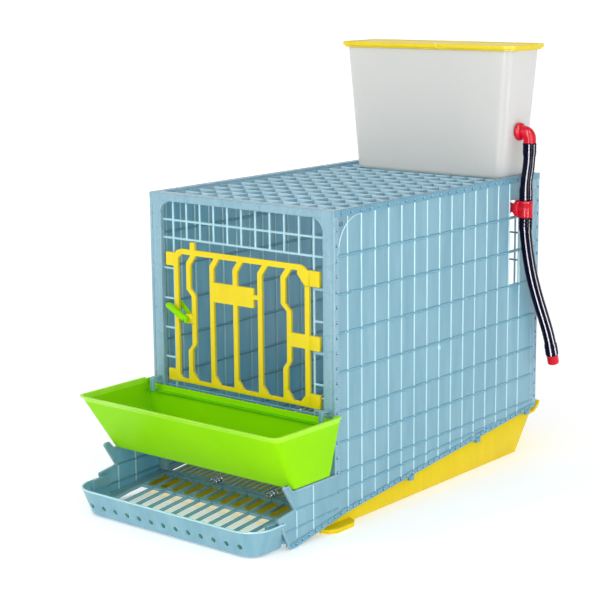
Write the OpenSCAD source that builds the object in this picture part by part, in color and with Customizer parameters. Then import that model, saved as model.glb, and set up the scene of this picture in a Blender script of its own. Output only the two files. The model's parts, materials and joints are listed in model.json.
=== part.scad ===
// Laying-hen cage with a front feeder, roll-out egg tray, droppings tray, water tank and nipple line.
// x across the width, the front faces -Y, z up. z = 0 is the ground plane. Millimetres.

/* [Cage] */
// overall width over the two side panels
cage_w = 440; // [400:5:480]
// depth from the front face to the back face
cage_d = 668; // [620:4:720]
// height of the top edge above the ground
cage_h = 572; // [540:4:620]
// vertical rib pitch of the side panels
rib_pitch = 40; // [36:1:44]
// bar pitch of the front, back and top grids across the width
bar_pitch = 33.6; // [31:0.2:36]
// slope of the floor towards the front, rise per mm
floor_rise = 0.098; // [0.07:0.002:0.12]
// wall of the moulded side sheets
sheet_t = 2.2; // [1.6:0.2:4]
// radius of the moulded snap pegs along the panel edges
peg_r = 2.2; // [1.6:0.1:3]

/* [Door] */
// left edge of the door leaf
door_x0 = -162; // [-166:1:-156]
// right edge of the door leaf
door_x1 = 162; // [156:1:164]
// top edge of the door leaf
door_z1 = 471; // [460:1:478]
// bottom edge of the door leaf
door_z0 = 216.5; // [216.5:0.5:240]
// leaf thickness
door_t = 6; // [4:0.5:6]
// width of a door bar
door_bar = 10; // [7:0.5:14]

/* [Feeder] */
// length over the rim
feeder_w = 480; // [460:5:500]
// depth over the rim
feeder_d = 183; // [150:1:190]
// height of the rim above the ground
feeder_z = 214; // [190:1:214]
// wall thickness
feeder_wall = 2.5; // [2:0.5:4]

/* [Tank] */
// tank length at its foot
tank_w = 366; // [300:2:380]
// tank depth at its foot
tank_d = 98; // [80:2:98]
// tank height from its foot to its mouth
tank_hgt = 255; // [180:5:300]
// tank wall
tank_wall = 3; // [2:0.5:4]
// tank centre across the width
tank_x = 21; // [0:1:24]

/* [Water line] */
// outside radius of the water hose
hose_r = 12.2; // [11:0.2:13.6]
// inside radius of the water hose
hose_ri = 9.4; // [9:0.2:10]
// outside radius of the drinker pipe
pipe_r = 11; // [8:0.5:12]

/* [Hidden] */
$fn = 40;
hw = cage_w/2;                 // outer face of a side panel
pi_x = hw - 6;                 // inner face of a side panel
strip = 12;                    // edge strip of a panel
back_y = cage_d - strip;       // inner face of the back panel
floor_z = 31;                  // floor top at the front face
slope = atan(floor_rise);
edge_z = 22;                   // lower edge of a side panel at the front face
lat_z = cage_h - 5;            // top of the roof lattice, where the tank stands
rib = 3;
gx = bar_pitch;
door_y0 = 1;                   // front face of the door leaf
hinge_x = 178;
hinge_y = 3.5;
knuckles = [[435,463],[321,347],[216.5,242]];
latch_x = -128;
latch_z = 341;
tank_y = cage_d - 64;
tank_top = lat_z + tank_hgt;
line_x = hw + 21.5;            // vertical axis of the hose run
elbow_y = cage_d - 76;
elbow_z = cage_h + 88;
tee_y = cage_d - 86;
tee_z = cage_h - 62;
nipple_x = [-112, 0, 112];
blue = [0.55, 0.73, 0.81];
yellow = [0.95, 0.83, 0.05];
green = [0.58, 0.91, 0.08];
red = [0.86, 0.07, 0.16];
navy = [0.05, 0.04, 0.16];

// rows of the side panel grid, from the top strip down, as heights at the front face
row_drop = [12, 80, 147.5, 216.5, 286.5, 356.5, 413, 469, 503];
row_z = concat([for (drop = row_drop) cage_h - drop], [edge_z + 10]);
row_s = [0, 0, 0, 0, 0, 0, 0, 0, 0.029, floor_rise];
rib_y0 = 38.7;
rib_n = 15;
function rib_y(i) = i <= 0 ? 13 - rib/2 : (i > rib_n ? cage_d - 23 + rib/2 : rib_y0 + rib_pitch*(i-1));
function row_at(j, y) = max(row_z[j] + row_s[j]*y, edge_z + 10 + floor_rise*y);
function low_edge(y) = edge_z + floor_rise*y;

module rr(w, d, r) {
  union() {
    square([w - 2*r, d], center = true);
    square([w, d - 2*r], center = true);
    for (sx = [-1, 1]) for (sy = [-1, 1]) translate([sx*(w/2 - r), sy*(d/2 - r)]) circle(r = r);
  }
}

// flat shape drawn as (y, z), thickness from x0 to x1
module yz(x0, x1) { translate([x0, 0, 0]) rotate([90, 0, 90]) linear_extrude(height = x1 - x0) children(); }
// flat shape drawn as (x, z), thickness from y0 to y1
module xz(y0, y1) { translate([0, y1, 0]) rotate([90, 0, 0]) linear_extrude(height = y1 - y0) children(); }

// ---------------------------------------------------------------- side panels
module side_outline() {
  polygon([[0, cage_h], [cage_d, cage_h], [cage_d, low_edge(cage_d)], [45, low_edge(45)],
    [-108, 0], [-124, 0], [-132, 8], [-132, 13], [-157, 60], [-112, 66.5],
    [-141, 112], [-137, 116], [-127, 116], [-118, 103.7], [0, 103.7]]);
}
module side_cells() {
  // a cell is left out where its two rows run together over the bottom strip
  for (i = [0 : rib_n]) for (j = [0 : 8]) if (row_at(j, rib_y(i+1)) - row_at(j+1, rib_y(i+1)) > 2*rib)
    polygon([[rib_y(i) + rib/2, row_at(j, rib_y(i)) - (j == 0 ? 0 : rib/2)],
             [rib_y(i+1) - rib/2, row_at(j, rib_y(i+1)) - (j == 0 ? 0 : rib/2)],
             [rib_y(i+1) - rib/2, row_at(j+1, rib_y(i+1)) + rib/2],
             [rib_y(i) + rib/2, row_at(j+1, rib_y(i)) + rib/2]]);
  polygon([[-98, 98], [-62, 98], [-62, 70], [-104, 70]]);
  polygon([[-58, 98], [-6, 98], [-6, 70], [-58, 70]]);
  polygon([[-147, 57], [-108, 61], [-108, 20], [-128, 20]]);
  polygon([[-104, 66], [-62, 66], [-62, 24], [-104, 18]]);
  polygon([[-58, 66], [-6, 66], [-6, 32], [-58, 26]]);
}
module edge_pegs_top() { for (k = [0 : 23]) translate([20 + 27*k, cage_h - 6]) children(); }
module edge_pegs_front() { for (k = [0 : 18]) translate([6, 52 + 27*k]) children(); }
module edge_pegs_back() { for (k = [0 : 16]) translate([cage_d - 6, 112 + 27*k]) children(); }
module edge_pegs_floor() { for (k = [0 : 22]) translate([34 + 27*k, low_edge(34 + 27*k) + 6]) children(); }
module side_panel() {
  difference() {
    union() {
      yz(pi_x, hw) side_outline();
      // tabs that hang beside the droppings tray
      for (y = [225, 450, 632]) yz(pi_x, hw) translate([y, low_edge(y) - 8]) square([14, 10]);
    }
    yz(pi_x - 1, pi_x + 2.2) side_cells();
    yz(pi_x + 2.2 + sheet_t, hw + 1) side_cells();
    // open cells for the water branch
    for (j = [0 : 2]) {
      low = row_z[j+1] + rib/2;
      high = j == 0 ? cage_h - 45 : row_z[j] - rib/2;
      yz(pi_x - 1, hw + 1) translate([rib_y(14) + rib/2, low]) square([rib_pitch - rib, high - low]);
    }
    yz(pi_x - 1, hw + 1) {
      edge_pegs_top() circle(r = peg_r, $fn = 16);
      edge_pegs_front() circle(r = peg_r, $fn = 16);
      edge_pegs_back() circle(r = peg_r, $fn = 16);
      edge_pegs_floor() circle(r = peg_r, $fn = 16);
      translate([-146, 50]) circle(r = 3);
    }
  }
}
module side_panel_right() { color(blue) side_panel(); }
module side_panel_left() { color(blue) mirror([1, 0, 0]) side_panel(); }
// the row of pegs a panel pushes through the side panels
module peg_row() { for (m = [0, 1]) mirror([m, 0, 0]) yz(pi_x - 3, hw + 1.6) children(); }

// ---------------------------------------------------------------- front panel
col_x = 193.5;                 // inner edge of the frame's uprights
head_z = [cage_h - 15, cage_h - 50, cage_h - 84];
rung_z = [259, 316, 372.5, 430];
module grid_row(low, high) {
  for (k = [-6 : 5]) {
    x0 = k == -6 ? -col_x : k*gx + rib/2;
    x1 = k == 5 ? col_x : (k+1)*gx - rib/2;
    translate([x0, low]) square([x1 - x0, high - low]);
  }
}
module front_openings() {
  // head-height grid of three rows
  grid_row(head_z[1] + rib/2, head_z[0]);
  grid_row(head_z[2] + rib/2, head_z[1] - rib/2);
  // door opening and the rungs beside it
  translate([-5*gx + rib/2, 206]) square([10*gx - rib, head_z[2] - rib/2 - 206]);
  rungs = concat([206 - rib/2], rung_z, [head_z[2]]);
  for (s = [0, 1]) mirror([s, 0]) for (i = [0 : 4])
    translate([5*gx + rib/2, rungs[i] + rib/2]) square([col_x - 5*gx - rib/2, rungs[i+1] - rungs[i] - rib]);
  // lower grid above the gap the eggs roll through
  grid_row(154, 202);
  grid_row(104, 150);
}
// the front face is sunk inside the frame, with rounded upper corners
module front_recess() {
  corner = [[0, cage_h - 36], [4, cage_h - 24], [9, cage_h - 18], [21, head_z[0]]];
  polygon(concat([[-col_x, 20]], [for (p = corner) [p[0] - col_x, p[1]]],
    [for (i = [3 : -1 : 0]) [col_x - corner[i][0], corner[i][1]]], [[col_x, 20]]));
}
module front_panel() {
  color(blue) union() {
    difference() {
      xz(0, 12) translate([-pi_x, 34]) square([2*pi_x, cage_h - 34]);
      xz(-1, 7.5) front_recess();
      xz(11, 13) translate([-col_x, 20]) square([2*col_x, cage_h - 35]);
      xz(7, 11.5) front_openings();
      xz(7, 11.5) translate([-col_x, 20]) square([2*col_x, 80]);
    }
    for (k = knuckles) {
      translate([172, 0, k[0] - 5.4]) cube([24, 7, 5]);
      translate([hinge_x, hinge_y, k[0] - 3]) cylinder(r = 2, h = 18, $fn = 32);
    }
    for (s = [-1, 1]) translate([s*205 - 8, -2.6, 207]) cube([16, 3.6, 5]);
    peg_row() edge_pegs_front() circle(r = peg_r, $fn = 16);
  }
}

// ---------------------------------------------------------------- back panel
module back_panel() {
  rows = 8;
  low = 108;
  pitch = (cage_h - 13 - low)/rows;
  color(blue) union() {
    difference() {
      xz(back_y, cage_d) translate([-pi_x, 96.6]) square([2*pi_x, cage_h - 96.6]);
      for (y = [back_y - 1, cage_d - 4])
        xz(y, y + 5) translate([-pi_x + 13, low]) square([2*pi_x - 26, rows*pitch]);
      for (k = [-6 : 5]) for (j = [0 : rows - 1]) {
        x0 = k == -6 ? -pi_x + 13 : k*gx + rib/2;
        x1 = k == 5 ? pi_x - 13 : (k+1)*gx - rib/2;
        z0 = low + j*pitch + (j == 0 ? 0 : rib/2);
        z1 = low + (j + 1)*pitch - (j == rows - 1 ? 0 : rib/2);
        translate([x0, back_y + 3, z0]) cube([x1 - x0, 6, z1 - z0]);
      }
    }
    peg_row() edge_pegs_back() circle(r = peg_r, $fn = 16);
  }
}

// ---------------------------------------------------------------- roof
roof_pitch = 40;
module top_panel() {
  color(blue) union() {
    difference() {
      translate([-pi_x, 12, cage_h - 12]) cube([2*pi_x, back_y - 12, 12]);
      // the raised strips stand clear of the tank's foot
      translate([-pi_x + 8, 23, lat_z]) cube([2*pi_x - 16, back_y - 1.5 - 23, 6]);
      for (k = [-5 : 4]) for (i = [0 : rib_n]) {
        x0 = k*roof_pitch + (k == -5 ? 0 : rib/2);
        x1 = (k + 1)*roof_pitch - (k == 4 ? 0 : rib/2);
        y0 = i == 0 ? 23 : rib_y(i) + rib/2;
        y1 = i == rib_n ? back_y - 11 : rib_y(i+1) - rib/2;
        translate([x0, y0, cage_h - 13]) cube([x1 - x0, y1 - y0, 9]);
      }
    }
    peg_row() edge_pegs_top() circle(r = peg_r, $fn = 16);
  }
}

// ---------------------------------------------------------------- sloping floor
module on_floor() { translate([0, 0, floor_z]) rotate([slope, 0, 0]) children(); }
module floor_grid() {
  len = back_y / cos(slope) + 10;
  rows = 11;
  p = (len - 20 - 14)/rows;
  color(blue) union() {
    on_floor() difference() {
      translate([-pi_x, 9, -6]) cube([2*pi_x, len - 9, 6]);
      for (k = [-13 : 13]) for (j = [0 : rows - 1])
        translate([k*15 - 6, 15 + j*p + (j == 0 ? 0 : 2), -7]) cube([12, p - (j == 0 ? 2 : 4), 8]);
    }
    peg_row() edge_pegs_floor() circle(r = peg_r, $fn = 16);
  }
}

// ---------------------------------------------------------------- roll-out egg tray
egg_c = 175;                   // centres of the rounded front corners, across and forwards
egg_foot = 3;                  // height of the wall's lower edge
egg_rim = 52;                  // height of the rim
// corner radius of the wall at a height, taken in by o
function egg_r(z, o) = 29 + (z - egg_foot)*18/49 - o;
module egg_shell(o, top) {
  low_r = egg_r(egg_foot, o);
  top_r = egg_r(top, o);
  yz(-egg_c, egg_c)
    polygon([[-egg_c - low_r, egg_foot], [-egg_c - top_r, top], [-100, top], [-100, egg_foot]]);
  for (m = [0, 1]) mirror([m, 0, 0]) {
    xz(-egg_c, -100)
      polygon([[egg_c, egg_foot], [egg_c + low_r, egg_foot], [egg_c + top_r, top], [egg_c, top]]);
    intersection() {
      translate([egg_c, -egg_c, egg_foot]) cylinder(r1 = low_r, r2 = top_r, h = top - egg_foot);
      translate([egg_c, -egg_c - 60, egg_foot]) cube([60, 60, top - egg_foot]);
    }
  }
}
module egg_bed() {
  corner_y = egg_c / cos(slope);
  difference() {
    union() {
      translate([-pi_x + 0.5, -136]) square([2*pi_x - 1, 140]);
      polygon([[-207, -130], [-204.5, -corner_y], [204.5, -corner_y], [207, -130]]);
      translate([-egg_c, -corner_y - 29.5]) square([2*egg_c, 30]);
      for (s = [-1, 1]) translate([s*egg_c, -corner_y]) circle(r = 29.5);
    }
    for (k = [-6 : 6]) {
      translate([k*30 - 13, -166]) square([26, 12]);
      translate([k*30 - 13.5, -149]) square([27, 80]);
      translate([k*30 - 13.5, -64]) square([27, 60]);
    }
  }
}
module egg_tray() {
  color(blue) union() {
    difference() {
      egg_shell(0, egg_rim);
      translate([0, 0, -1]) egg_shell(3, egg_rim + 3);
      // rear ends of the walls follow the front edges of the side panels
      yz(-hw - 10, hw + 10)
        polygon([[-158, 62], [-133, 14.5], [-133, -5], [-60, -5], [-60, 70], [-158, 70]]);
      for (k = [-6 : 6]) translate([k*29.8, -190, 21]) rotate([90, 0, 0])
        cylinder(r = 5.2, h = 60, $fn = 24);
    }
    on_floor() translate([0, 0, -6]) linear_extrude(height = 6) egg_bed();
    // side ears pinned through the side panels
    for (m = [0, 1]) mirror([m, 0, 0]) {
      translate([pi_x - 7, -178, 38]) cube([6.6, 42, 18]);
      translate([pi_x - 7, -178, 38]) cube([9.5, 18, 11]);
      translate([pi_x - 3, -146, 50]) rotate([0, 90, 0]) cylinder(r = 3, h = 11);
    }
  }
}
module tray_clips() {
  color([0.62, 0.68, 0.74]) for (x = [-68, 68]) on_floor() translate([x, 6.5, 0]) difference() {
    translate([-5, -10, 0]) cube([10, 20, 8]);
    translate([-6, -6, -1]) cube([12, 12, 6]);
  }
}

// ---------------------------------------------------------------- feeder
fy0 = -feeder_d - 1;             // front edge of the rim
feeder_foot = 104;
// corners of the trough as [x, y, z, radius]; o takes the shell in by a wall and opens it at the rim
module feeder_shell(o) {
  rim_z = feeder_z - 2 + (o > 0 ? 3 : 0);
  corners = [[210, -105, feeder_foot + o, 8], [212, -16, feeder_foot + o, 6],
    [feeder_w/2 - 17, fy0 + 17, rim_z, 14], [feeder_w/2 - 9, -9, rim_z, 6]];
  hull() for (s = [-1, 1]) for (c = corners)
    translate([s*c[0], c[1], c[2]]) cylinder(r = c[3] - o, h = 0.4, $fn = 32);
}
module feeder_trough() {
  color(green) difference() {
    union() {
      feeder_shell(0);
      translate([0, fy0/2 - 0.5, feeder_z - 4]) linear_extrude(height = 4) rr(feeder_w, -fy0 - 2, 14);
    }
    difference() {
      feeder_shell(feeder_wall);
      // drip ledge along the back wall and the lugs the hooks sit on
      translate([-230, -14, 192]) cube([460, 12, 3]);
    }
    translate([-227, -14, 204]) cube([454, 20, 20]);
  }
}
module feeder_hooks() {
  color(blue) for (s = [-1, 1]) translate([s*205 - 5, 0, 0]) union() {
    translate([0, -22, 217]) cube([10, 21.6, 4]);
    translate([0, -22, 195]) cube([10, 3.2, 24]);
    translate([0, -20, 195]) cube([10, 10, 2.5]);
    translate([0, -2.8, 212.3]) cube([10, 2.4, 6]);
  }
}

// ---------------------------------------------------------------- door
module slat(x) {
  polygon([[x, 446], [x + 12, 462], [x + 25, 462], [x + door_bar, 441],
    [x + door_bar, 240], [x + 24, 223], [x, 223]]);
}
module kinked(a, b, c) {
  polygon([[a, 446], [a + 12, 462], [a + 25, 462], [a + door_bar, 441], [a + door_bar, 398],
    [b + door_bar, 386], [b + door_bar, 294], [c + door_bar, 280], [c + door_bar, 240],
    [c + 24, 223], [c, 223], [c, 280], [b, 292], [b, 384], [a, 396]]);
}
module door_shape() {
  union() {
    polygon([[door_x0, 217], [door_x0, 458], [-155, 467], [-144, door_z1], [143, door_z1], [152, 467],
      [door_x1, 458], [door_x1, 217], [door_x1 - door_bar, 217], [door_x1 - door_bar, 452],
      [143, door_z1 - 10], [-142, door_z1 - 10], [door_x0 + door_bar, 452], [door_x0 + door_bar, 217]]);
    translate([door_x0, door_z0]) square([door_x1 - door_x0, 7.5]);
    translate([-182, 437]) square([24, 25]);
    polygon([[-181, door_z0], [-181, 239], [-158, 239], [-148, 224],
      [-140, 224], [-140, door_z0]]);
    kinked(-131, -118.7, -129);
    slat(-73);
    slat(-16);
    slat(43);
    kinked(97.5, 110.5, 101.7);
    translate([-64, 380]) square([97, 36]);
    translate([32, 396]) square([12, 8]);
    translate([118, 322]) square([36, 25]);
    polygon([[135, 462], [135, 455], [153, 434], [168, 435], [168, 463]]);
    polygon([[140, 223], [153, 238], [168, 242], [168, door_z0], [140, door_z0]]);
    translate([152, 321]) square([16, 26]);
    translate([-121, 469]) square([11, 16]);
  }
}
module door() {
  color(yellow) difference() {
    union() {
      xz(door_y0, door_y0 + door_t) door_shape();
      for (k = knuckles) translate([164, 0, k[0]]) cube([22, 7, k[1] - k[0]]);
      translate([latch_x, 7, latch_z]) rotate([90, 0, 0]) cylinder(r = 9, h = 9.6);
      translate([latch_x, door_y0, latch_z - 9]) cube([12, 6, 18]);
    }
    for (k = knuckles) translate([hinge_x, hinge_y, k[0] - 1]) cylinder(r = 2.06, h = 18, $fn = 32);
    translate([latch_x, 8, latch_z]) rotate([90, 0, 0]) cylinder(r = 3.06, h = 20, $fn = 32);
  }
}
module latch_lever() {
  color(green) union() {
    translate([latch_x, 0, latch_z]) rotate([0, 27, 0]) xz(-11, -3) union() {
      translate([-46, -5]) square([46, 11]);
      circle(r = 7);
      translate([-46, 0.5]) circle(r = 5.5);
    }
    translate([latch_x, 11.5, latch_z]) rotate([90, 0, 0]) cylinder(r = 3, h = 16, $fn = 32);
  }
}
module latch_tongue() {
  color(green) translate([latch_x, 0, latch_z]) rotate([0, 40, 0]) xz(11.5, 14.5) union() {
    translate([-42, -4.5]) square([42, 9]);
    circle(r = 7);
  }
}

// ---------------------------------------------------------------- droppings tray
module droppings_tray() {
  wall = 2.5;
  color(yellow) union() {
    difference() {
      yz(-207, 207) polygon([[-46, 16.5], [-26, 0], [612, 0], [664, 66], [640, 82], [-20, 17]]);
      yz(-207 + wall, 207 - wall) polygon([[-46, 22], [-42, 16.8], [-26 + wall, wall],
        [611, wall], [660, 65], [652, 90], [640, 90]]);
    }
    // rolled pull at the back
    yz(-200, 200) polygon([[656, 58], [661, 64], [676, 69], [694, 71], [706, 78], [714, 88],
      [719, 85], [712, 74], [698, 66], [678, 64], [664, 58], [660, 53]]);
    // side grips at the front corners
    for (m = [0, 1]) mirror([m, 0, 0]) linear_extrude(height = 8)
      polygon([[205, -26], [222, -20], [230, -4], [230, 40], [222, 52], [205, 58]]);
  }
}

// ---------------------------------------------------------------- water tank
// the tank widens from its foot to its mouth, and so do its corner radii
flare_w = 21.5;
flare_d = 10;
module tank_shell(o) {
  levels = [[lat_z + o, 0, 0, 24], [tank_top + (o > 0 ? 1 : 0), flare_w, flare_d, 28]];
  hull() for (sx = [-1, 1]) for (sy = [-1, 1]) for (v = levels)
    translate([sx*(tank_w/2 + v[1] - v[3]), sy*(tank_d/2 + v[2] - v[3]), v[0]])
      cylinder(r = v[3] - o, h = 0.4, $fn = 32);
}
module water_tank() {
  color([0.86, 0.87, 0.86, 0.8]) difference() {
    union() {
      difference() {
        translate([tank_x, tank_y, 0]) tank_shell(0);
        translate([tank_x, tank_y, 0]) tank_shell(tank_wall);
      }
      translate([202, elbow_y, elbow_z]) rotate([0, 90, 0]) cylinder(r = 17, h = 11.5);
    }
    translate([195, elbow_y, elbow_z]) rotate([0, 90, 0]) cylinder(r = 9, h = 30);
  }
}
module tank_lid() {
  mouth_w = tank_w + 2*flare_w;
  mouth_d = tank_d + 2*flare_d;
  flange = 9;
  color(yellow) translate([tank_x, tank_y, tank_top]) difference() {
    translate([0, 0, -4]) linear_extrude(height = 11) rr(mouth_w + 2*flange, mouth_d + 2*flange, 30);
    translate([0, 0, -5]) linear_extrude(height = 5.8) rr(mouth_w + 1.2, mouth_d + 1.2, 28);
    // finger notch in the front edge
    translate([42, -mouth_d/2 - flange, -5]) cylinder(r = 5, h = 8);
    translate([0, 0, 5.5]) linear_extrude(height = 3) rr(mouth_w + 1, mouth_d + 1, 24);
  }
}
module tank_gasket() {
  color([0.16, 0.16, 0.17]) translate([213.5, elbow_y, elbow_z]) rotate([0, 90, 0]) difference() {
    cylinder(r = 14, h = 2);
    translate([0, 0, -1]) cylinder(r = 9, h = 4);
  }
}
module tank_nut() {
  color(red) translate([194, elbow_y, elbow_z]) rotate([0, 90, 0]) difference() {
    cylinder(r = 16, h = 8, $fn = 6);
    translate([0, 0, -1]) cylinder(r = 9, h = 10, $fn = 40);
  }
}
module quarter_bend(r, bend) {
  translate([line_x - bend, elbow_y, elbow_z - bend]) rotate([90, 0, 0])
    rotate_extrude(angle = 90) translate([bend, 0]) circle(r = r);
}
module tank_elbow() {
  r = 12.4;
  bend = 15;
  color(red) difference() {
    union() {
      translate([192, elbow_y, elbow_z]) rotate([0, 90, 0]) cylinder(r = 9, h = line_x - bend - 192);
      translate([215.5, elbow_y, elbow_z]) rotate([0, 90, 0]) cylinder(r = 18, h = 6);
      translate([221, elbow_y, elbow_z]) rotate([0, 90, 0]) cylinder(r = r, h = line_x - bend - 221);
      quarter_bend(r, bend);
      translate([line_x, elbow_y, elbow_z - bend - 6]) cylinder(r = r, h = 6);
      translate([line_x, elbow_y, elbow_z - bend - 30]) cylinder(r = 8.9, h = 30);
    }
    translate([190, elbow_y, elbow_z]) rotate([0, 90, 0]) cylinder(r = 6.5, h = line_x - bend - 190);
    quarter_bend(6.5, bend);
    translate([line_x, elbow_y, elbow_z - bend - 32]) cylinder(r = 6.5, h = 32);
  }
}
hose_top_z = elbow_z - 21;
tee_top = tee_z + 17;
tee_low = tee_z - 17;
module water_tee() {
  color(red) difference() {
    union() {
      translate([line_x, tee_y, tee_low]) cylinder(r = 14, h = tee_top - tee_low);
      translate([line_x, tee_y, tee_low - 22]) cylinder(r = 8.9, h = tee_top - tee_low + 44);
      translate([206, tee_y, tee_z]) rotate([0, 90, 0]) cylinder(r = 12, h = line_x - 206);
      translate([184, tee_y, tee_z]) rotate([0, 90, 0]) cylinder(r = 8.9, h = 30);
      translate([hw + 1, tee_y, tee_z]) rotate([0, 90, 0]) cylinder(r = 17, h = 9, $fn = 8);
    }
    translate([line_x, tee_y, tee_low - 24]) cylinder(r = 6.5, h = tee_top - tee_low + 48);
    translate([182, tee_y, tee_z]) rotate([0, 90, 0]) cylinder(r = 6.5, h = line_x - 182);
  }
}

// ---------------------------------------------------------------- hoses
// a round tube swept along a list of points; the end rings stand square to the first and last legs
sides = 12;
function unit(v) = v / norm(v);
function dir_at(p, i) =
  i == 0 ? unit(p[1] - p[0]) : (i == len(p) - 1 ? unit(p[i] - p[i-1]) : unit(p[i+1] - p[i-1]));
function ring(p, i, r) =
  let (u = [1, 0, 0], w = unit(cross(dir_at(p, i), u)))
  [for (k = [0 : sides - 1]) p[i] + r*cos(360*k/sides)*u + r*sin(360*k/sides)*w];
// two triangles for each quad between rings i and i + 1 of a wall whose points start at m
function wall_faces(m, i, flip) = [for (k = [0 : sides - 1]) let (
    a = m + i*sides + k, b = m + i*sides + (k + 1)%sides, c = a + sides, d = b + sides)
  each flip ? [[a, b, c], [b, d, c]] : [[a, c, b], [b, c, d]]];
// the flat ring between the outer and the inner wall at the ring that starts at point o
function end_faces(m, o, flip) = [for (k = [0 : sides - 1]) let (
    a = o + k, b = o + (k + 1)%sides)
  each flip ? [[a, m + a, b], [b, m + a, m + b]] : [[a, b, m + a], [b, m + b, m + a]]];
module sweep_tube(p, ro, ri) {
  n = len(p);
  m = n*sides;
  rings = [for (r = [ro, ri]) for (i = [0 : n - 1]) each ring(p, i, r)];
  outer = [for (i = [0 : n - 2]) each wall_faces(0, i, false)];
  inner = [for (i = [0 : n - 2]) each wall_faces(m, i, true)];
  polyhedron(points = rings,
    faces = concat(outer, inner, end_faces(m, 0, false), end_faces(m, (n - 1)*sides, true)));
}
upper_route = [[line_x, elbow_y, hose_top_z], [line_x, elbow_y, hose_top_z - 26],
  [line_x, elbow_y - 2, hose_top_z - 44], [line_x, elbow_y - 5, hose_top_z - 58],
  [line_x, tee_y + 2, tee_top + 42], [line_x, tee_y, tee_top + 26], [line_x, tee_y, tee_top]];
lower_route = [[line_x, tee_y, tee_low], [line_x, tee_y, tee_low - 24],
  [line_x, tee_y + 5, tee_low - 50], [line_x, tee_y + 13, tee_low - 80],
  [line_x, tee_y + 24, tee_low - 112], [line_x, tee_y + 38, tee_low - 144],
  [line_x, tee_y + 55, tee_low - 177], [line_x, tee_y + 74, tee_low - 211],
  [line_x, tee_y + 91, tee_low - 243], [line_x, tee_y + 103, tee_low - 270],
  [line_x, tee_y + 112, tee_low - 297]];
module upper_hose() { color(navy) sweep_tube(upper_route, hose_r, hose_ri); }
module lower_hose() { color(navy) sweep_tube(lower_route, hose_r, hose_ri); }
module hose_plug() {
  p = lower_route[10];
  ang = atan2(9, 27);
  color(red) translate(p) rotate([ang, 0, 0]) union() {
    translate([0, 0, -22]) cylinder(r = 12.4, h = 22);
    cylinder(r = 8.9, h = 20);
  }
}

// ---------------------------------------------------------------- drinker line
module drinker_pipe() {
  color([0.9, 0.91, 0.92]) difference() {
    translate([-200, tee_y, tee_z]) rotate([0, 90, 0]) cylinder(r = pipe_r, h = 406);
    translate([-201, tee_y, tee_z]) rotate([0, 90, 0]) cylinder(r = 9, h = 408);
    for (x = nipple_x) translate([x, tee_y, tee_z - 14]) cylinder(r = 4, h = 10);
  }
}
module pipe_end_cap() {
  color(red) translate([-204, tee_y, tee_z]) rotate([0, 90, 0]) difference() {
    cylinder(r = 13, h = 18);
    translate([0, 0, 4]) cylinder(r = pipe_r, h = 16);
  }
}
module pipe_hangers() {
  color(blue) for (x = [-4*gx, 4*gx]) difference() {
    union() {
      translate([x - 5, tee_y, tee_z]) rotate([0, 90, 0]) cylinder(r = 14, h = 10);
      translate([x - 5, tee_y - 3, tee_z + 12]) cube([10, 6, cage_h - 12 - tee_z - 12]);
      translate([x - 5, tee_y - 10, cage_h - 15]) cube([10, 20, 3]);
    }
    translate([x - 6, tee_y, tee_z]) rotate([0, 90, 0]) cylinder(r = pipe_r, h = 12);
  }
}
module nipple_bodies() {
  color(red) for (x = nipple_x) translate([x, tee_y, tee_z]) difference() {
    union() {
      translate([0, 0, -14]) cylinder(r = 4, h = 6.5);
      translate([0, 0, -32]) cylinder(r = 7, h = 20.5);
    }
    translate([0, 0, -33]) cylinder(r = 2.06, h = 8, $fn = 32);
    translate([0, 0, -28]) cylinder(r = 4.4, h = 8, $fn = 32);
    translate([0, 0, -21]) cylinder(r = 1.5, h = 15);
  }
}
module pin_at(x) {
  color([0.8, 0.81, 0.83]) translate([x, tee_y, tee_z]) union() {
    translate([0, 0, -44]) cylinder(r = 2, h = 20, $fn = 32);
    translate([0, 0, -27.6]) cylinder(r = 3.8, h = 1.8, $fn = 32);
  }
}
module nipple_pin_left() { pin_at(nipple_x[0]); }
module nipple_pin_middle() { pin_at(nipple_x[1]); }
module nipple_pin_right() { pin_at(nipple_x[2]); }

side_panel_left();
side_panel_right();
front_panel();
back_panel();
top_panel();
floor_grid();
egg_tray();
tray_clips();
feeder_trough();
feeder_hooks();
door();
latch_lever();
latch_tongue();
droppings_tray();
water_tank();
tank_lid();
tank_gasket();
tank_nut();
tank_elbow();
upper_hose();
water_tee();
lower_hose();
hose_plug();
drinker_pipe();
pipe_end_cap();
pipe_hangers();
nipple_bodies();
nipple_pin_left();
nipple_pin_middle();
nipple_pin_right();
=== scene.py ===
"""Looks of the laying-hen cage with its feeder, egg tray, droppings tray, water tank and hose line.

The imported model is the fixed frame, in metres: x across, the front faces -Y, z up. Ribbed walls, grids, tank,
lid, feeder, red fittings and hoses are built here as detailed pieces that stand for their CAD nodes. The
other nodes keep their shape, and most get rounded edges. All materials are procedural."""

import json
import math

import bmesh
import bpy
from mathutils import Matrix, Vector


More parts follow.
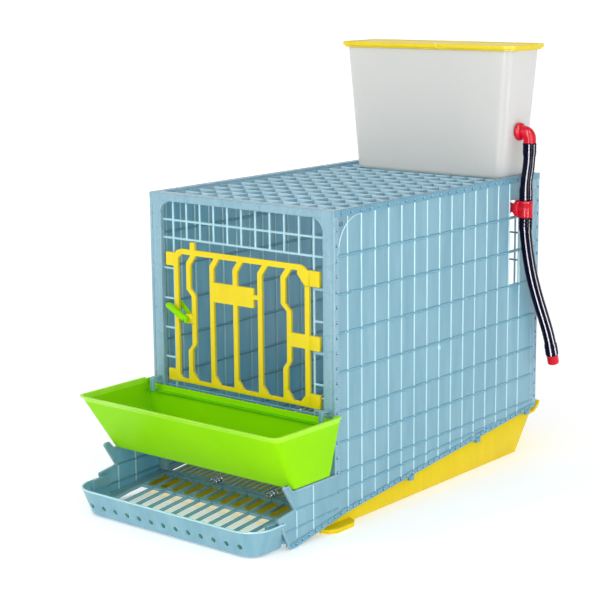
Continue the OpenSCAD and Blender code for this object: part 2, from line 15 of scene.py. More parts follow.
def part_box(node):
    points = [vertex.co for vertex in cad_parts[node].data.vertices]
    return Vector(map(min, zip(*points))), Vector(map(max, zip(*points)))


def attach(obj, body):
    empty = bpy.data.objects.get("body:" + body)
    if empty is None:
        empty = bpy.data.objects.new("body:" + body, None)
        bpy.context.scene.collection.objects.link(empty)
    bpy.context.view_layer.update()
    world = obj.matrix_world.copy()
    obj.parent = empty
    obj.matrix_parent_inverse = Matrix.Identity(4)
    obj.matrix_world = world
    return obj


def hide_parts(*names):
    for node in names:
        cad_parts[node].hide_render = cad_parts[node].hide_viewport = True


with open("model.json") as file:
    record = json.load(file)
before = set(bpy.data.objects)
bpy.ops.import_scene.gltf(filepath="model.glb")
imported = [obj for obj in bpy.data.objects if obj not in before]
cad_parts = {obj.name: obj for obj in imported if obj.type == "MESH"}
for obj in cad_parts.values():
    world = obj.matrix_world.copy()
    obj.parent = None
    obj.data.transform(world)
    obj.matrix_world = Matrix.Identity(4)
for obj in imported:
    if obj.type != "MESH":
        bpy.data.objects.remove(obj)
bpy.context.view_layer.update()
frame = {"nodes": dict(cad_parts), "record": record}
nodes = frame["nodes"]
MM = 0.001


# ---------------------------------------------------------------- camera
def make_camera():
    """The product photograph's view: a long lens from the front right, a little above the roof."""
    data = bpy.data.cameras.new("camera")
    data.sensor_width = 36
    data.lens = 99.73
    data.clip_end = 50
    camera = bpy.data.objects.new("camera", data)
    bpy.context.scene.collection.objects.link(camera)
    azimuth, elevation, roll = math.radians(39.467), math.radians(11.322), math.radians(-0.513)
    turn = (Matrix.Rotation(azimuth, 4, "Z") @ Matrix.Rotation(math.pi/2 - elevation, 4, "X")
            @ Matrix.Rotation(roll, 4, "Z"))
    camera.matrix_world = Matrix.Translation((1.9587, -2.2055, 0.9807)) @ turn
    bpy.context.scene.camera = camera


make_camera()
bpy.context.scene.view_settings.view_transform = "Standard"


# ---------------------------------------------------------------- materials
def nodes_of(name):
    """A new material, its node tree and its shader."""
    material = bpy.data.materials.new(name)
    material.use_nodes = True
    tree = material.node_tree
    return material, tree, tree.nodes["Principled BSDF"]


def moulded(name, deep, light, roughness=0.35, streak=(30, 30, 6), grain=600, grain_depth=0.00002, gloss=0.5,
            uneven=0.05, glow=0.0):
    """Injection-moulded plastic: slow colour streaks along the flow, a fine grain and uneven polish."""
    material, tree, shader = nodes_of(name)
    new, link = tree.nodes.new, tree.links.new
    place = new("ShaderNodeTexCoord")
    stretch = new("ShaderNodeMapping")
    stretch.inputs["Scale"].default_value = streak
    link(place.outputs["Object"], stretch.inputs["Vector"])
    flow = new("ShaderNodeTexNoise")
    flow.inputs["Scale"].default_value = 1.0
    flow.inputs["Detail"].default_value = 4
    flow.inputs["Roughness"].default_value = 0.6
    link(stretch.outputs["Vector"], flow.inputs["Vector"])
    ramp = new("ShaderNodeValToRGB")
    ramp.color_ramp.elements[0].position = 0.32
    ramp.color_ramp.elements[1].position = 0.68
    ramp.color_ramp.elements[0].color = (*deep, 1)
    ramp.color_ramp.elements[1].color = (*light, 1)
    link(flow.outputs["Fac"], ramp.inputs["Fac"])
    link(ramp.outputs["Color"], shader.inputs["Base Color"])
    polish = new("ShaderNodeTexNoise")
    polish.inputs["Scale"].default_value = 45
    polish.inputs["Detail"].default_value = 3
    link(place.outputs["Object"], polish.inputs["Vector"])
    spread = new("ShaderNodeMapRange")
    spread.inputs["To Min"].default_value = roughness - uneven
    spread.inputs["To Max"].default_value = roughness + uneven
    link(polish.outputs["Fac"], spread.inputs["Value"])
    link(spread.outputs["Result"], shader.inputs["Roughness"])
    fine = new("ShaderNodeTexNoise")
    fine.inputs["Scale"].default_value = grain
    fine.inputs["Detail"].default_value = 2
    link(place.outputs["Object"], fine.inputs["Vector"])
    bump = new("ShaderNodeBump")
    bump.inputs["Strength"].default_value = 0.6
    bump.inputs["Distance"].default_value = grain_depth
    link(fine.outputs["Fac"], bump.inputs["Height"])
    link(bump.outputs["Normal"], shader.inputs["Normal"])
    shader.inputs["Specular IOR Level"].default_value = gloss
    if glow:
        shader.inputs["Subsurface Weight"].default_value = glow
        shader.inputs["Subsurface Radius"].default_value = (0.006, 0.008, 0.009)
        shader.inputs["Subsurface Scale"].default_value = 1.0
    return material


FLOW = (34, 34, 5)  # the sheet's streaks run upright
SMOOTH = 0.000008  # grain depth of the glossier mouldings, in metres
POLISHED = 0.000004
GLASSY = 0.000001
CAGE = moulded("cage_plastic", (0.175, 0.37, 0.47), (0.235, 0.44, 0.54), roughness=0.30, streak=FLOW,
               glow=0.5)
CAGE_FRAME = moulded("cage_frame", (0.21, 0.395, 0.50), (0.28, 0.47, 0.57), roughness=0.28, streak=FLOW)
# pale rib colour: a painted highlight on the upright ribs, the gusset rib, the egg tray's rim bead and the peg
# glints; the gate mark uses it too
CAGE_RIB_HIGHLIGHT = moulded("cage_rib_highlight", (0.42, 0.70, 0.80), (0.50, 0.77, 0.85), roughness=0.20)
# darker row colour: painted shade on the level ribs and cross rows, where thick plastic lets less light through
CAGE_ROW_SHADE = moulded("cage_row_shade", (0.12, 0.33, 0.46), (0.16, 0.39, 0.52), roughness=0.26)
CAGE_STRIP = moulded("cage_strip", (0.11, 0.31, 0.44), (0.15, 0.37, 0.50), roughness=0.26)
# dark peg colour: painted shade of the holes round the snap pegs
CAGE_PEG_SHADE = moulded("cage_peg_shade", (0.03, 0.14, 0.25), (0.06, 0.20, 0.33), roughness=0.15)
# lighter roof colour: a painted highlight on the roof's cross bars
CAGE_ROOF_HIGHLIGHT = moulded("cage_roof_highlight", (0.39, 0.63, 0.76), (0.49, 0.72, 0.85), roughness=0.24)
CAGE_GRID = moulded("cage_grid", (0.36, 0.62, 0.72), (0.44, 0.69, 0.78), roughness=0.22)
YELLOW = moulded("yellow_plastic", (0.82, 0.62, 0.003), (0.87, 0.69, 0.006), roughness=0.36,
                 grain_depth=SMOOTH, gloss=0.3)
GREEN = moulded("green_plastic", (0.27, 0.70, 0.001), (0.31, 0.77, 0.001), roughness=0.34, streak=(4, 4, 4),
                grain=900, grain_depth=POLISHED, uneven=0.02, gloss=0.05)
# lighter rim green: a painted highlight along the feeder's rim
GREEN_RIM_HIGHLIGHT = moulded("green_rim_highlight", (0.38, 0.84, 0.02), (0.44, 0.90, 0.03), roughness=0.3, grain_depth=POLISHED,
                    gloss=0.25)
# darker ledge green: painted shade along the feeder's drip ledge
GREEN_LEDGE_SHADE = moulded("green_ledge_shade", (0.11, 0.52, 0.001), (0.15, 0.60, 0.001), roughness=0.34,
                      grain_depth=POLISHED, gloss=0.1)
TRAY = moulded("tray_plastic", (0.78, 0.58, 0.001), (0.84, 0.64, 0.002), roughness=0.4, grain_depth=SMOOTH,
               gloss=0.15)
RED = moulded("red_plastic", (0.62, 0.002, 0.016), (0.72, 0.004, 0.026), roughness=0.2, grain_depth=0.000006,
              gloss=0.25)
HOSE = moulded("hose_pvc", (0.001, 0.0008, 0.014), (0.002, 0.0015, 0.022), roughness=0.1, streak=(6, 6, 6),
               grain_depth=GLASSY, gloss=0.08, uneven=0.01)
TANK = moulded("tank_plastic", (0.68, 0.685, 0.675), (0.70, 0.705, 0.69), roughness=0.2, streak=(3, 3, 1),
               grain_depth=GLASSY, uneven=0.015, gloss=0.1, glow=0.2)
PIPE = moulded("pipe_plastic", (0.75, 0.76, 0.78), (0.82, 0.83, 0.84), roughness=0.3)
RUBBER = moulded("gasket_rubber", (0.02, 0.02, 0.022), (0.035, 0.035, 0.038), roughness=0.6)
STEEL = moulded("clip_steel", (0.5, 0.52, 0.55), (0.62, 0.64, 0.67), roughness=0.25)
STEEL.node_tree.nodes["Principled BSDF"].inputs["Metallic"].default_value = 1.0

FINISH = {"cage_plastic": CAGE, "yellow_plastic": YELLOW, "lid_plastic": YELLOW, "green_plastic": GREEN,
          "tank_plastic": TANK, "red_plastic": RED, "hose_pvc": HOSE, "pipe_plastic": PIPE,
          "gasket_rubber": RUBBER, "clip_steel": STEEL, "pin_steel": STEEL}
SLOT_OF = {row["node"]: row["material_slot"] for row in frame["record"]["subparts"]}


def paint(piece, material):
    """Gives a piece one material in place of any that it has."""
    piece.data.materials.clear()
    piece.data.materials.append(material)


# ---------------------------------------------------------------- CAD nodes that stay
# width of each node's rounded edges, in millimetres
EDGE = {"door": 0.8, "latch_lever": 1.0, "latch_tongue": 0.5, "feeder_hooks": 0.7, "droppings_tray": 0.8,
        "tank_nut": 0.6, "pipe_end_cap": 0.8, "pipe_hangers": 0.6, "nipple_bodies": 0.5, "tray_clips": 0.6}


def soften(node, width):
    """Rounds the edges of a CAD node with modifiers, which leave its mesh as it is."""
    piece = nodes[node]
    weld = piece.modifiers.new("weld", "WELD")
    weld.merge_threshold = 0.00001
    edge = piece.modifiers.new("edge", "BEVEL")
    edge.width = width*MM
    edge.segments = 2
    edge.limit_method = "ANGLE"
    edge.angle_limit = math.radians(32)
    edge.use_clamp_overlap = False
    edge.harden_normals = True
    for face in piece.data.polygons:
        face.use_smooth = True


for name, piece in nodes.items():
    paint(piece, TRAY if name == "droppings_tray" else FINISH[SLOT_OF[name]])
    if name in EDGE:
        soften(name, EDGE[name])


# ---------------------------------------------------------------- mesh helpers
def rounded(w, h, r, n=3):
    """A rectangle with round corners as (u, v) pairs, counter-clockwise about its centre."""
    found = []
    u0, v0 = w/2 - r, h/2 - r
    for u, v, start in ((u0, v0, 0), (r - w/2, v0, 90), (r - w/2, r - h/2, 180), (u0, r - h/2, 270)):
        for k in range(n + 1):
            a = math.radians(start + 90*k/n)
            found.append((u + r*math.cos(a), v + r*math.sin(a)))
    return found


def skin(mesh, rings, slot=0, caps=True, closed=False):
    """Quads between rings of vertices; caps close the ends, and closed joins the last ring to the first."""
    pairs = list(zip(rings, rings[1:])) + ([(rings[-1], rings[0])] if closed else [])
    for a, b in pairs:
        for k in range(len(a)):
            j = (k + 1) % len(a)
            mesh.faces.new((a[k], a[j], b[j], b[k])).material_index = slot
    if caps and not closed:
        mesh.faces.new(rings[0][::-1]).material_index = slot
        mesh.faces.new(rings[-1]).material_index = slot


def bar(mesh, a, b, width, height, up, r=1.2, slot=0, n=3):
    """A moulded bar from a to b in millimetres; height is measured along up, width across it."""
    a, b = Vector(a)*MM, Vector(b)*MM
    along = (b - a).normalized()
    side = along.cross(Vector(up)).normalized()
    top = side.cross(along)
    section = [(u*MM, v*MM) for u, v in rounded(width, height, min(r, width/2.01, height/2.01), n)]
    skin(mesh, [[mesh.verts.new(p + u*side + v*top) for u, v in section] for p in (a, b)], slot)


def slab(mesh, outline, axis, low, high, slot=0, edge=0.0):
    """A flat outline in millimetres pushed along an axis from low to high; edge rounds its rims."""
    def place(u, v, w):
        return {"x": (w, u, v), "y": (u, w, v), "z": (u, v, w)}[axis]

    rings = [[mesh.verts.new(Vector(place(u, v, w))*MM) for u, v in outline] for w in (low, high)]
    before = set(mesh.faces)
    skin(mesh, rings, slot)
    if edge:
        rims = {e for face in set(mesh.faces) - before for e in face.edges}
        bmesh.ops.bevel(mesh, geom=list(rims), offset=edge*MM, segments=2, affect="EDGES", profile=0.5,
                        material=-1)


def corners(u0, v0, u1, v1):
    """A rectangle's outline, counter-clockwise from its low corner."""
    return [(u0, v0), (u1, v0), (u1, v1), (u0, v1)]


def upright(mesh, x, y, low, high, *shape):
    """A bar that stands at x and y between two heights."""
    bar(mesh, (x, y, low), (x, y, high), *shape)


def across(mesh, half, y, z, *shape):
    """A bar from side to side of the cage, half of it on each side of the middle."""
    bar(mesh, (-half, y, z), (half, y, z), *shape)


def arc(cu, cv, r, start, stop, n=8):
    """Points round (cu, cv) from one angle to another, in degrees."""
    return [(cu + r*math.cos(math.radians(start + (stop - start)*k/n)),
             cv + r*math.sin(math.radians(start + (stop - start)*k/n))) for k in range(n + 1)]


def chain(mesh, points, width, height, up, r=1.2, slot=0):
    """Bars from point to point, a little long so that the corners close; every second one is a hair lower."""
    points = [Vector(p) for p in points]
    for i, (a, b) in enumerate(zip(points, points[1:])):
        reach = (b - a).normalized()*(width*0.25)
        bar(mesh, a - reach, b + reach, width, height - 0.16*(i % 2), up, r, slot)


def dome(mesh, centre, r, out, slot=0, sides=12):
    """A low round peg head that stands out of a face."""
    out = Vector(out)
    u = out.orthogonal().normalized()
    v = out.cross(u)
    profile = [(1.0, -1.0), (1.0, 0.45), (0.82, 0.75), (0.45, 0.95)]
    rings = [[mesh.verts.new((Vector(centre) + r*s*(math.cos(a)*u + math.sin(a)*v) + out*h*r*0.8)*MM)
              for a in (2*math.pi*k/sides for k in range(sides))] for s, h in profile]
    skin(mesh, rings, slot)


def finish_piece(name, mesh, materials, body, replaced=(), sharp=38):
    """Makes an object of the mesh, with its materials and its body, and hides the CAD nodes it stands for."""
    bmesh.ops.recalc_face_normals(mesh, faces=mesh.faces[:])
    data = bpy.data.meshes.new(name)
    mesh.to_mesh(data)
    mesh.free()
    for material in materials:
        data.materials.append(material)
    for face in data.polygons:
        face.use_smooth = True
    data.set_sharp_from_angle(angle=math.radians(sharp))
    made = bpy.data.objects.new(name, data)
    bpy.context.scene.collection.objects.link(made)
    if replaced:
        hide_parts(*replaced)
    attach(made, body)
    return made


# ---------------------------------------------------------------- driving dimensions, millimetres
CAGE_D = 1000*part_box("back_panel")[1].y
CAGE_H = 1000*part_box("side_panel_right")[1].z
PANEL_OUT = 1000*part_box("top_panel")[1].x - 1.6
PANEL_IN = PANEL_OUT - 6
RIBS, RIB_PITCH, RIB_FIRST = 15, 40, 38.7
SHEET_FRONT, SHEET_BACK = 11.5, CAGE_D - 21.5
GRID = 33.6  # pitch of the front and back grids
COLUMN = 193.5  # inner edge of the front posts
FLOOR_Z, FLOOR_RISE, EDGE_Z = 31, 0.098, 22
ROW_DROPS = (80, 147.5, 216.5, 286.5, 356.5, 413, 469)  # level ribs, down from the roof edge
LOW_ROW_DROP, LOW_ROW_END, LOW_ROW_RISE = 503, 536, 0.029
PEG_PITCH, LOW_PEG_PITCH = 27, 18
ROOF_PITCH = 40
LATTICE_Z = CAGE_H - 5
BACK_Y = CAGE_D - 12
X, Y, Z = Vector((1, 0, 0)), Vector((0, 1, 0)), Vector((0, 0, 1))


def rib_y(i):
    """Where upright rib i stands; below the first and past the last it gives the sheet's ends."""
    return SHEET_FRONT if i <= 0 else (SHEET_BACK if i > RIBS else RIB_FIRST + RIB_PITCH*(i - 1))


def low_edge(y):
    """Height of a side panel's sloping lower edge."""
    return EDGE_Z + FLOOR_RISE*y


# ---------------------------------------------------------------- side panels
EAR_TOP = 103.7
EAR = [(-118, EAR_TOP), (-127, 116), (-137, 116), (-141, 112), (-112, 66.5), (-157, 60), (-132, 13),
       (-132, 8), (-124, 0), (-108, 0), (SHEET_FRONT, 20.6), (SHEET_FRONT, EAR_TOP)]


def side_panel(side, name):
    """A thin ribbed sheet: pale upright ribbing, a painted highlight; darker level ribbing, painted shade; edge
    strips with snap pegs and a gusset.
    """
    mesh = bmesh.new()
    middle = side*(PANEL_IN + 3)
    out = side*X
    # slots: the pale rib colour is a painted highlight; the darker row colour and the dark peg colour are
    # painted shade
    sheet, rib_highlight, row_shade, strips, peg_shade, rims = 0, 1, 2, 3, 4, 5

    def at(y, z, x=middle):
        return (x, y, z)

    def plate(outline, thick=2.2, slot=sheet):
        centre = side*(PANEL_IN + 3.3)
        slab(mesh, outline, "x", centre - thick/2, centre + thick/2, slot)

    sheet_top, window_top, window_foot = CAGE_H - 6, CAGE_H - 45, CAGE_H - 215
    for i in range(RIBS + 1):
        y0, y1 = rib_y(i), rib_y(i + 1)
        has_window = i == RIBS - 1
        top = window_foot if has_window else sheet_top
        plate([(y0, low_edge(y0)), (y1, low_edge(y1)), (y1, top), (y0, top)])
        if has_window:
            plate(corners(y0, window_top, y1, sheet_top))
    plate(EAR, 2.4)
    # upright ribs in the pale rib colour: a painted highlight
    for i in range(1, RIBS + 1):
        y = rib_y(i)
        bar(mesh, at(y, low_edge(y) + 5), at(y, CAGE_H - 8), 4.2, 5.5, out, 1.95, rib_highlight, 4)
    # level ribs in the darker row colour: painted shade, where the thick plastic lets less light through
    for drop in ROW_DROPS:
        bar(mesh, at(8, CAGE_H - drop), at(CAGE_D - 14, CAGE_H - drop), 5.6, 6.0, out, 2.2, row_shade, 4)
    low_row = CAGE_H - LOW_ROW_DROP
    row_end = at(LOW_ROW_END, low_row + LOW_ROW_RISE*LOW_ROW_END)
    bar(mesh, at(8, low_row), row_end, 5.6, 6.0, out, 2.2, row_shade, 4)
    # edge strips
    bar(mesh, at(0.3, CAGE_H - 6), at(CAGE_D - 0.3, CAGE_H - 6), 12, 6, out, 1.1, strips)
    bar(mesh, at(6.5, 100), at(6.5, CAGE_H - 0.6), 13, 5.7, out, 1.1, rims)
    bar(mesh, at(CAGE_D - 6, low_edge(CAGE_D) + 1), at(CAGE_D - 6, CAGE_H - 0.6), 12, 5.7, out, 1.1, rims)
    bar(mesh, at(CAGE_D - 17.5, low_edge(CAGE_D) + 1), at(CAGE_D - 17.5, CAGE_H - 2), 12, 4, out, 1.1, rims)
    bar(mesh, at(20, low_edge(20) + 5.5), at(CAGE_D - 1, low_edge(CAGE_D) + 5.5), 10, 6, out, 1.1, strips)
    bar(mesh, at(-122, 5.6), at(46, low_edge(46) + 6), 10, 5.85, out, 1.1, strips)
    # ear at the front foot: its upright bars in the pale rib colour, a painted highlight, and its level bars in
    # the darker row colour, painted shade
    upper_rim = [(4, 101.6), (-117, 101.6), (-127.5, 114), (-137, 114), (-138.5, 112), (-109.5, 67.6)]
    lower_rim = [(-109.5, 68), (-153.6, 61), (-130, 14), (-130, 8), (-122, 3)]
    for points, height in ((upper_rim, 5.5), (lower_rim, 5.6)):
        chain(mesh, [at(y, z) for y, z in points], 4, height, out, 1.2, rims)
    for y, low, high in ((-60, 10, 100), (-106, 18, 66)):
        bar(mesh, at(y, low), at(y, high), 4, 5.3, out, 1.8, rib_highlight)
    bar(mesh, at(-110, 68), at(2, 68), 4, 5.4, out, 1.8, row_shade)
    bar(mesh, at(-134, 34), at(8, 40), 4, 5.4, out, 1.8, row_shade)
    # rounded gusset at the top front corner; its curved rib is in the pale rib colour, a painted highlight, and
    # its peg in the dark peg colour, painted shade
    corner = arc(13 + 62, CAGE_H - 12 - 62, 62, 180, 90, 12)
    plate([(10, CAGE_H - 74), *corner, (75, CAGE_H - 10), (10, CAGE_H - 10)], 3.4)
    chain(mesh, [at(y, z) for y, z in corner], 2.6, 5.6, out, 1.2, rib_highlight)
    dome(mesh, at(19, CAGE_H - 24, side*(PANEL_OUT - 1.2)), 4.2, out, peg_shade)
    # tabs beside the droppings tray
    for y in (225, 450, 632):
        slab(mesh, corners(y, low_edge(y) - 8, y + 14, low_edge(y) + 4), "x", side*PANEL_IN, side*PANEL_OUT,
             strips, 0.6)
    # snap pegs in their holes along every edge: each a dark dome, painted shade of its hole, with a small pale
    # dome on it, a painted highlight
    places = [(20 + PEG_PITCH*k, CAGE_H - 6) for k in range(24)]
    places += [(6, 52 + PEG_PITCH*k) for k in range(2, 19)]
    places += [(CAGE_D - 6, 112 + PEG_PITCH*k) for k in range(17)]
    places += [(y, low_edge(y) + 6) for y in (34 + LOW_PEG_PITCH*k for k in range(35))]
    places += [(-110 + LOW_PEG_PITCH*k, 7.5 + 3.13*k) for k in range(8)]
    for y, z in places:
        face = side*PANEL_OUT
        dome(mesh, (face - side*1.2, y, z), 3.1, out, peg_shade)
        dome(mesh, (face + side*0.9, y + 0.4, z + 0.8), 1.1, out, rib_highlight)
    # the moulding's gate mark on the right panel, a pale blemish, drawn in the same pale colour as the rib
    # highlights
    if side > 0:
        dome(mesh, at(RIB_FIRST + RIB_PITCH*7, CAGE_H - 297, side*(PANEL_OUT - 2)), 4.4, out, rib_highlight)
    return finish_piece(name, mesh, [CAGE, CAGE_RIB_HIGHLIGHT, CAGE_ROW_SHADE, CAGE_STRIP, CAGE_PEG_SHADE, CAGE_FRAME], "cage",
                        ["side_panel_right" if side > 0 else "side_panel_left"])


# ---------------------------------------------------------------- front panel
# slot 2's darker row colour is painted shade, where thick plastic lets less light through
GRID_SET = [CAGE_GRID, CAGE_FRAME, CAGE_ROW_SHADE]
BARS, FRAME, ROW_SHADE = 0, 1, 2  # slots of this set


def front_panel():
    """A deep frame with round bars: a head grid, the door opening with rungs beside it, and a low grid."""
    mesh = bmesh.new()
    for s in (-1, 1):
        upright(mesh, s*(COLUMN + 10), 6, 34, CAGE_H - 0.5, 20.6, 11.7, Y, 1.6, FRAME)
        edge = [(s*(COLUMN + 1), CAGE_H - 14), (s*(COLUMN + 1), CAGE_H - 38)]
        edge += [(s*u, v) for u, v in arc(COLUMN - 23, CAGE_H - 38, 23, 0, 90)]
        slab(mesh, edge, "y", 0.6, 7.6, FRAME, 0.8)
    across(mesh, PANEL_IN, 6, CAGE_H - 7.6, 15, 12, Y, 2.4, FRAME)
    for drop in (50, 84):
        across(mesh, COLUMN + 1, 9.1, CAGE_H - drop, 4.6, 4.4, Y, 2.1, BARS)
    # low rows in the darker row colour: painted shade
    for z, thick in ((204, 4.4), (152, 4), (102, 4.4)):
        across(mesh, COLUMN + 1, 9.2, z, thick, 4, Y, 1.7, ROW_SHADE)
    for k in range(-5, 6):
        upright(mesh, k*GRID, 9, CAGE_H - 85, CAGE_H - 13, 4.2, 4.2, Y, 1.9, BARS)
        upright(mesh, k*GRID, 9, 102, 204, 3.4, 4.2, Y, 1.6, BARS)
    for s in (-1, 1):
        upright(mesh, s*5*GRID, 8.9, 102, CAGE_H - 20, 4.4, 4.2, Y, 1.9, BARS)
        for z in (259, 316, 372.5, 430):
            bar(mesh, (s*5*GRID, 9.2, z), (s*(COLUMN + 1), 9.2, z), 4.4, 4, Y, 1.9, BARS)
        slab(mesh, corners(s*205 - 8, 207, s*205 + 8, 212), "y", -2.6, 3, FRAME, 0.6)
    for z0 in (435, 321, 216.5):
        slab(mesh, corners(172, z0 - 5.4, 195.5, z0 - 0.4), "y", 0, 7, FRAME, 0.8)
        bar(mesh, (178, 3.5, z0 - 3), (178, 3.5, z0 + 15), 4, 4, Y, 1.98, FRAME, 6)
    return finish_piece("front_grid", mesh, GRID_SET, "cage", ["front_panel"])


# ---------------------------------------------------------------- back, roof and floor
def back_panel():
    """A flat frame round a grid of thin bars."""
    mesh = bmesh.new()
    low, y = 96.6, CAGE_D - 6
    first_row = 108
    pitch = (CAGE_H - 13 - first_row)/8
    for s in (-1, 1):
        upright(mesh, s*(PANEL_IN - 6.5), y, low, CAGE_H - 0.5, 13, 11.7, Y, 1.4, FRAME)
    across(mesh, PANEL_IN, y, CAGE_H - 6.8, 12.6, 12, Y, 1.4, FRAME)
    across(mesh, PANEL_IN, y, low + 5.7, 11.4, 12, Y, 1.4, FRAME)
    for k in range(-5, 6):
        upright(mesh, k*GRID, y, low + 8, CAGE_H - 10, 3.4, 4.4, Y, 1.6, BARS)
    # rows in the darker row colour: painted shade
    for j in range(1, 8):
        across(mesh, PANEL_IN - 10, y, first_row + j*pitch, 3.6, 4.2, Y, 1.7, ROW_SHADE)
    return finish_piece("back_grid", mesh, GRID_SET, "cage", ["back_panel"])


def roof():
    """A lattice of deep bars, 40 mm each way, below the raised edges of the side panels."""
    mesh = bmesh.new()
    depth = 8.6
    z, rim_z = LATTICE_Z - depth/2, CAGE_H - 6
    for s in (-1, 1):
        edge_x = s*(PANEL_IN - 4)
        bar(mesh, (edge_x, 12, rim_z), (edge_x, BACK_Y, rim_z), 8, 12, Z, 1.4, FRAME)
        bar(mesh, (s*203, 20, z), (s*203, BACK_Y - 8, z), 8, depth - 0.4, Z, 1.4, FRAME)
    across(mesh, PANEL_IN, 17.5, rim_z, 11, 11.7, Z, 2.4, FRAME)
    across(mesh, PANEL_IN, BACK_Y - 1, rim_z, 2.4, 11.7, Z, 0.8, FRAME)
    across(mesh, PANEL_IN, BACK_Y - 6, z, 10, depth - 0.2, Z, 1.4, FRAME)
    for k in range(-4, 5):
        bar(mesh, (k*ROOF_PITCH, 20, z), (k*ROOF_PITCH, BACK_Y - 8, z), 4.4, depth, Z, 2.1, FRAME)
    # cross bars in the lighter roof colour: a painted highlight
    for i in range(1, RIBS + 1):
        across(mesh, PANEL_IN - 8, rib_y(i), z - 0.3, 4.6, depth, Z, 2.1, BARS)
    return finish_piece("roof_lattice", mesh, [CAGE_ROOF_HIGHLIGHT, CAGE_FRAME, CAGE_ROW_SHADE], "cage",
                        ["top_panel"])


def on_floor(x, y, z):
    """A point given along and above the sloping floor."""
    slope = math.atan(FLOOR_RISE)
    return (x, y*math.cos(slope) - z*math.sin(slope), FLOOR_Z + y*math.sin(slope) + z*math.cos(slope))


def floor_grid():
    """Slats that run down the slope on cross bars, in a flat frame."""
    mesh = bmesh.new()
    slope = math.atan(FLOOR_RISE)
    length = BACK_Y/math.cos(slope) + 10
    pitch = (length - 34)/11
    up = Vector((0, -math.sin(slope), math.cos(slope)))
    for k in range(-13, 13):
        x = 15*k + 7.5
        bar(mesh, on_floor(x, 10, -3), on_floor(x, length - 1, -3), 3, 5.6, up, 1.4, BARS)
    for s in (-1, 1):
        bar(mesh, on_floor(s*207.5, 9, -3), on_floor(s*207.5, length, -3), 12.6, 5.8, up, 1.2, FRAME)
    for y, wide in [(12, 6), (length - 9, 18)]:
        bar(mesh, on_floor(-PANEL_IN, y, -3), on_floor(PANEL_IN, y, -3), wide, 6, up, 1.2, FRAME)
    # cross bars in the darker row colour: painted shade
    for j in range(1, 11):
        y = 15 + j*pitch
        bar(mesh, on_floor(-205, y, -3.1), on_floor(205, y, -3.1), 3.8, 5.6, up, 1.6, ROW_SHADE)
    return finish_piece("floor_slats", mesh, GRID_SET, "cage", ["floor_grid"])


side_panel(1, "ribbed_side_right")
side_panel(-1, "ribbed_side_left")
front_panel()
back_panel()
roof()
floor_grid()


# ---------------------------------------------------------------- round and lofted parts
def turned(mesh, profile, origin, axis, slot=0, sides=32, closed=False):
    """A profile of (radius, height) pairs in millimetres turned about an axis; closed joins its two ends."""
    axis = Vector(axis).normalized()
    u = Z if abs(axis.x) > 0.9 else X
    u = (u - u.dot(axis)*axis).normalized()
    v = axis.cross(u)
    turn = math.pi/sides
    rings = [[mesh.verts.new((Vector(origin) + axis*h + r*(math.cos(a + turn)*u + math.sin(a + turn)*v))*MM)
              for a in (2*math.pi*k/sides for k in range(sides))] for r, h in profile]
    skin(mesh, rings, slot, closed=closed)


def barbed(low, high, r=8.9, step=6):
    """The ringed profile of a hose tail between two heights, tapering towards high."""
    profile = [(r - 1.4, low)]
    count = int(abs(high - low)//step)
    way = (high - low)/count
    for k in range(count):
        profile += [(r, low + way*(k + 0.15)), (r - 1.4, low + way*(k + 0.9))]
    return profile + [(r - 1.6, high)]


def plan(x0, x1, y0, y1, front, back, n=6, notch=None):
    """A rounded rectangle in plan, from the back left corner through the front; notch cuts a finger grip."""
    found = arc(x0 + back, y1 - back, back, 90, 180, n) + arc(x0 + front, y0 + front, front, 180, 270, n)
    if notch:
        a, b, deep = notch
        found += [(a, y0), (a + 2.5, y0 + deep), (b - 2.5, y0 + deep), (b, y0)]
    return found + arc(x1 - front, y0 + front, front, 270, 360, n) + arc(x1 - back, y1 - back, back, 0, 90, n)


def layer(mesh, outline, z):
    """A ring of vertices round an outline at one height."""
    return [mesh.verts.new((x*MM, y*MM, z*MM)) for x, y in outline]


# ---------------------------------------------------------------- tank and lid
TANK_X = 21
TANK_Y = CAGE_D - 64
TANK_TOP = 1000*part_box("water_tank")[1].z
TANK_LOW = 1000*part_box("water_tank")[0].z
ELBOW_Y, ELBOW_Z = CAGE_D - 76, CAGE_H + 88
LINE_X = 1000*sum(v.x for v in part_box("lower_hose"))/2


def tank_plan(z, inset):
    """The tank's outline at a height, drawn in by inset."""
    t = (z - TANK_LOW)/(TANK_TOP - TANK_LOW)
    w, d, r = 183 + 21.5*t - inset, 49 + 10*t - inset, 24 + 4*t - inset
    return plan(TANK_X - w, TANK_X + w, TANK_Y - d, TANK_Y + d, r, r, 8)


def water_tank():
    """A milky tank that widens upwards, with a rounded foot, a rolled mouth and a boss for the outlet."""
    mesh = bmesh.new()
    round_r = 8
    angles = [math.radians(90 - 15*k) for k in range(7)]
    foot = [(TANK_LOW + round_r - round_r*math.sin(a), round_r - round_r*math.cos(a)) for a in angles]
    outside = foot + [(z, 0) for z in range(int(TANK_LOW) + 28, int(TANK_TOP) - 8, 24)]
    outside += [(TANK_TOP - 6, 0), (TANK_TOP - 1.2, 0), (TANK_TOP, 0.8), (TANK_TOP, 2.2), (TANK_TOP - 1.2, 3)]
    inside = [(z, 3) for z in range(int(TANK_TOP) - 24, int(TANK_LOW) + 12, -40)]
    inside += [(TANK_LOW + 9, 3.4), (TANK_LOW + 4.6, 5.4), (TANK_LOW + 3.2, 9.5)]
    skin(mesh, [layer(mesh, tank_plan(z, inset), z) for z, inset in outside + inside])
    boss = [(9, 203), (17, 203), (17, 212.6), (16.4, 213.4), (9, 213.4)]
    turned(mesh, boss, (0, ELBOW_Y, ELBOW_Z), X, closed=True)
    return finish_piece("tank_shell", mesh, [TANK], "cage", ["water_tank"], 30)


LID_HALF = (213.5, 68)


